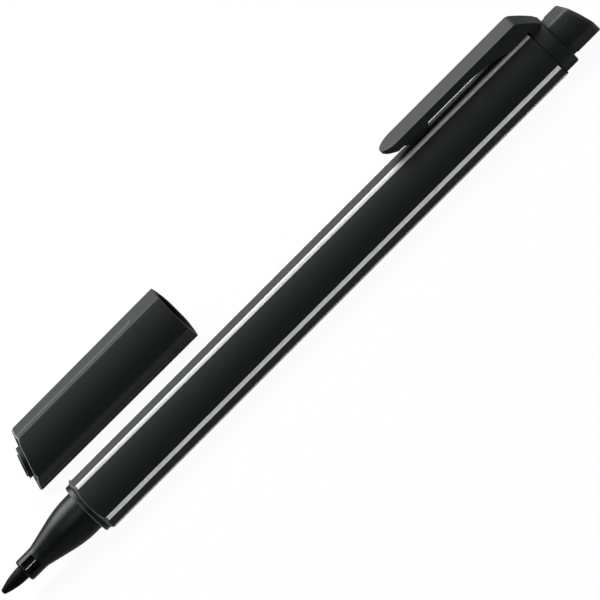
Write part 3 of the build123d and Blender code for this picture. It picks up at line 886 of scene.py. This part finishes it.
tail = tail_plug()
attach(tail, "pen")
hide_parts("tail_plug")


# Cap

CAP_SLOPE, CAP_SLANT, END_REACH = 0.345, 70.5, 0.4


def cap_shell():
    """Tapered cap with a slanted end, open round the liner, and a low round-ended panel along each flat."""
    # Painted highlights on the panels' borders and the end's rim, painted shade on the end face and inside
    # the mouth
    return dress("cap_sleeve", trefoil_sleeve("cap_sleeve", cap_black, {
        "Start X": CAP_MOUTH_X, "Axis Y": CAP_Y, "Direction": -1.0, "Length": CAP_LENGTH + END_REACH,
        "Corner Radius": 5.94, "Face Radius": 5.2, "Half Angle": 39.0, "Corner Rounding": 0.08,
        "Draft": 0.17, "Bore Radius": 4.2, "Mouth Chamfer": 0.25,
        "Front Slope": 0.042, "Front Angle": 150.0, "Front Bevel": 0.06,
        "Panel Start": 6.7, "Panel Width": 1.9, "Panel Height": 0.07, "Panel Shine": 0.12,
        "End Slope": 0.353, "End Angle": 75.6, "End Limit": 5.473, "End Bevel": 0.06,
        "End Shine": PAINTED_HIGHLIGHT, "End Mark": PAINTED_SHADE}))


cap = cap_shell()
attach(cap, "cap")
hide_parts("cap_shell")


def cap_liner():
    """Copy of the liner's solid, with painted highlights on its boss's rims and painted shade on the rest.

    The boss reaches out to the cap's longer end, and the disc on it sits lower.
    """
    boss_height, disc_height, disc_reach, disc_drop = 0.8, 0.3, 2.5, 0.55
    rim, disc_inset, near, merge, cut = 0.2, 0.15, 0.01, 1e-4, 1e-5
    # Painted shade over the liner and, fainter, on the disc's face
    liner_shade, disc_shade = -0.4, -0.2
    disc_top = boss_height + disc_height
    maker = bmesh.new()
    edge = maker.verts.layers.float.new("edge")
    add_mesh(maker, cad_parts["cap_liner"].data)
    bmesh.ops.remove_doubles(maker, verts=maker.verts, dist=merge)
    end = Vector((CAP_MOUTH_X - CAP_LENGTH, CAP_Y, AXIS_HEIGHT))
    outward = slant_normal(-1, CAP_SLOPE, CAP_SLANT)
    low = Vector((0, -0.5, -0.87))
    disc_shift = (low - outward * low.dot(outward)).normalized() * disc_drop
    for height in (boss_height - rim, disc_top - rim):
        bmesh.ops.bisect_plane(maker, geom=maker.verts[:] + maker.edges[:] + maker.faces[:], dist=cut,
                               plane_co=end + outward * height, plane_no=outward)
    disc_faces = [face for face in maker.faces
                  if all((vert.co - end).dot(outward) > disc_top - near for vert in face.verts)]
    bmesh.ops.inset_region(maker, faces=disc_faces, thickness=disc_inset, use_even_offset=True)
    for vert in maker.verts:
        above = (vert.co - end).dot(outward)
        outer = (vert.co - end - outward * above).length > disc_reach
        on_rim = above > disc_top - rim / 2 or (outer and above > boss_height - rim / 2)
        vert[edge] = PAINTED_HIGHLIGHT if on_rim else liner_shade
        if above > boss_height / 2:
            vert.co.x -= END_REACH
        if above > boss_height - near and not outer:
            vert.co += disc_shift
    for vert in [vert for face in disc_faces for vert in face.verts]:
        vert[edge] = disc_shade
    return mesh_piece("cap_inner_sleeve", maker, liner_black)


liner = cap_liner()
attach(liner, "cap")
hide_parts("cap_liner")


# Reservoir, which keeps its solids

for node, finish in (("reservoir_core", core_fibre), ("reservoir_sleeve", film)):
    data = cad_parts[node].data
    data.materials.clear()
    data.materials.append(finish)


# Floor, light and camera

def white_share(tree):
    """1 for rays that show the background: straight to the camera, mirrored or passed through."""
    mirrored_share = 0.6
    rays = Wire.node(tree, "ShaderNodeLightPath").socket.node.outputs
    straight, mirrored = Wire(rays["Is Camera Ray"]), Wire(rays["Is Glossy Ray"])
    seen = straight + mirrored * mirrored_share + Wire(rays["Is Transmission Ray"])
    return seen.math("MINIMUM", 1.0)


def pale_floor():
    """White sheet under the object, which keeps a faint shadow."""
    reach, glow_share = 4, 0.95
    corners = [(-reach, -reach, 0), (reach, -reach, 0), (reach, reach, 0), (-reach, reach, 0)]
    sheet = bpy.data.meshes.new("studio_floor")
    sheet.from_pydata(corners, [], [(0, 1, 2, 3)])
    floor = bpy.data.objects.new("studio_floor", sheet)
    bpy.context.scene.collection.objects.link(floor)
    finish = bpy.data.materials.new("studio_floor_white")
    finish.use_nodes = True
    tree = finish.node_tree
    tree.nodes.clear()
    paper = Wire.node(tree, "ShaderNodeBsdfDiffuse", None, {"Color": (0.9, 0.9, 0.9, 1)})
    glow = Wire.node(tree, "ShaderNodeEmission", None, {"Color": (1, 1, 1, 1), "Strength": 1.0})
    factor = white_share(tree) * glow_share
    mixed = Wire.node(tree, "ShaderNodeMixShader", None, {0: factor, 1: paper, 2: glow})
    Wire.node(tree, "ShaderNodeOutputMaterial", None, {"Surface": mixed})
    sheet.materials.append(finish)


def soft_world(fill):
    world = bpy.data.worlds.new("studio_air")
    bpy.context.scene.world = world
    world.use_nodes = True
    sky = next(n for n in world.node_tree.nodes if n.type == "BACKGROUND")
    sky.inputs["Color"].default_value = (1, 1, 1, 1)
    sky.inputs["Strength"].default_value = fill


def softbox(name, place, width, depth, watts, card=False):
    """Rectangular lamp that faces the middle of the object; a card shows only as a sheen on it."""
    lamp = bpy.data.lights.new(name, "AREA")
    lamp.shape = "RECTANGLE"
    lamp.size, lamp.size_y = width, depth
    lamp.energy = watts
    box = bpy.data.objects.new(name, lamp)
    box.location = place
    box.rotation_mode = "QUATERNION"
    box.rotation_quaternion = (-Vector(place)).to_track_quat("-Z", "Y")
    box.visible_camera = False
    box.visible_diffuse = not card
    bpy.context.scene.collection.objects.link(box)


pale_floor()
soft_world(fill=0.17)
softbox("softbox_above", (0.0, 0.45, 0.93), width=1.1, depth=0.7, watts=12.8)
softbox("card_above", (0.0, 0.47, 0.94), width=1.1, depth=0.75, watts=57.5, card=True)
softbox("card_front", (0.0, -0.68, 0.8), width=1.0, depth=0.5, watts=8.5, card=True)


def photo_camera():
    """Long lens at the photograph's angle, rolled so that the pen runs from lower left to upper right."""
    turn, lift, frame_width, lens = radians(2.7), radians(30), 105.0, 800.0
    middle_from_tip, middle_drop = 73.15, 0.553
    back = Vector((sin(turn) * cos(lift), -cos(turn) * cos(lift), sin(lift)))
    right = Vector((cos(turn), sin(turn), 0))
    up = back.cross(right)
    lean = Vector((right.x, up.x)).normalized()
    along = right * lean.x + up * lean.y
    side = up * lean.x - right * lean.y
    target = Vector((TIP_X + middle_from_tip, PEN_Y, AXIS_HEIGHT)) - side * middle_drop
    camera = bpy.data.cameras.new("photo_camera")
    camera.lens = lens
    camera.clip_start, camera.clip_end = 0.1, 20.0
    holder = bpy.data.objects.new("photo_camera", camera)
    x_axis, y_axis = (along - side).normalized(), (along + side).normalized()
    holder.matrix_world = Matrix((x_axis, y_axis, back)).transposed().to_4x4()
    holder.location = (target + back * frame_width * lens / camera.sensor_width) * MM
    bpy.context.scene.collection.objects.link(holder)
    bpy.context.scene.camera = holder


photo_camera()
bpy.context.scene.view_settings.view_transform = "Standard"
